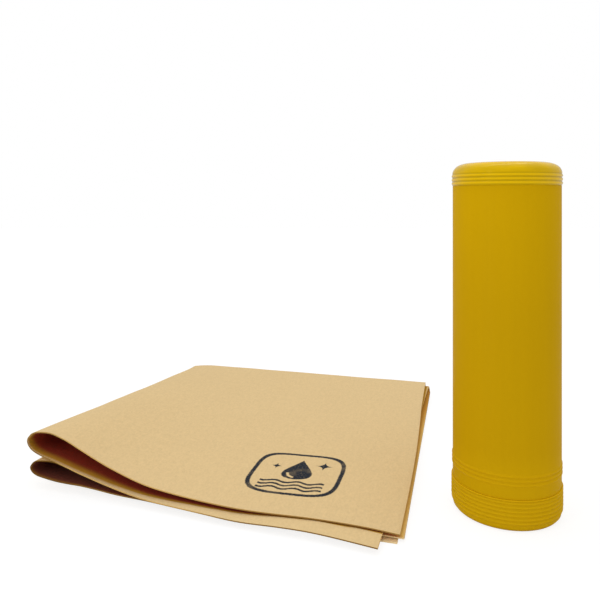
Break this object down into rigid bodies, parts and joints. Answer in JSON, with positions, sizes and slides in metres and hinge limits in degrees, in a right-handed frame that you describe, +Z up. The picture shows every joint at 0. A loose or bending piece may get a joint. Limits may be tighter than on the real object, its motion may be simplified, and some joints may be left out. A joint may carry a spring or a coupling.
{
  "type": "synthetic chamois cloth in storage tube",
  "caption": "Thin synthetic chamois cloth folded into a flat stack with open loops at one side, beside its upright round plastic storage tube with a pull-off ribbed lid and ribbed base cap.",
  "frame": {"origin": "middle of the base of the set, on the surface that the cloth and the tube rest on", "axes": "+Z up along the tube, +Y from the cloth's open front edge towards its folded back edge as seen in the picture, +X towards the tube's side"},
  "size_m": [0.3616, 0.3744, 0.225],
  "materials": {
    "chamois": "matt fine-napped synthetic chamois, tan, with a small dark ink mark near one corner",
    "tube_plastic": "satin yellow moulded plastic, slightly translucent",
    "lid_plastic": "glossy yellow moulded plastic"
  },
  "bodies": {
    "cloth_and_tube": {"cloth": "chamois", "tube_body": "tube_plastic", "base_cap": "tube_plastic"},
    "lid": {"lid": "lid_plastic"}
  },
  "joints": [
    {"name": "lid_pull", "type": "slide", "parent": "cloth_and_tube", "child": "lid", "axis": [0, 0, 1], "range_m": [0, 0.09]}
  ]
}
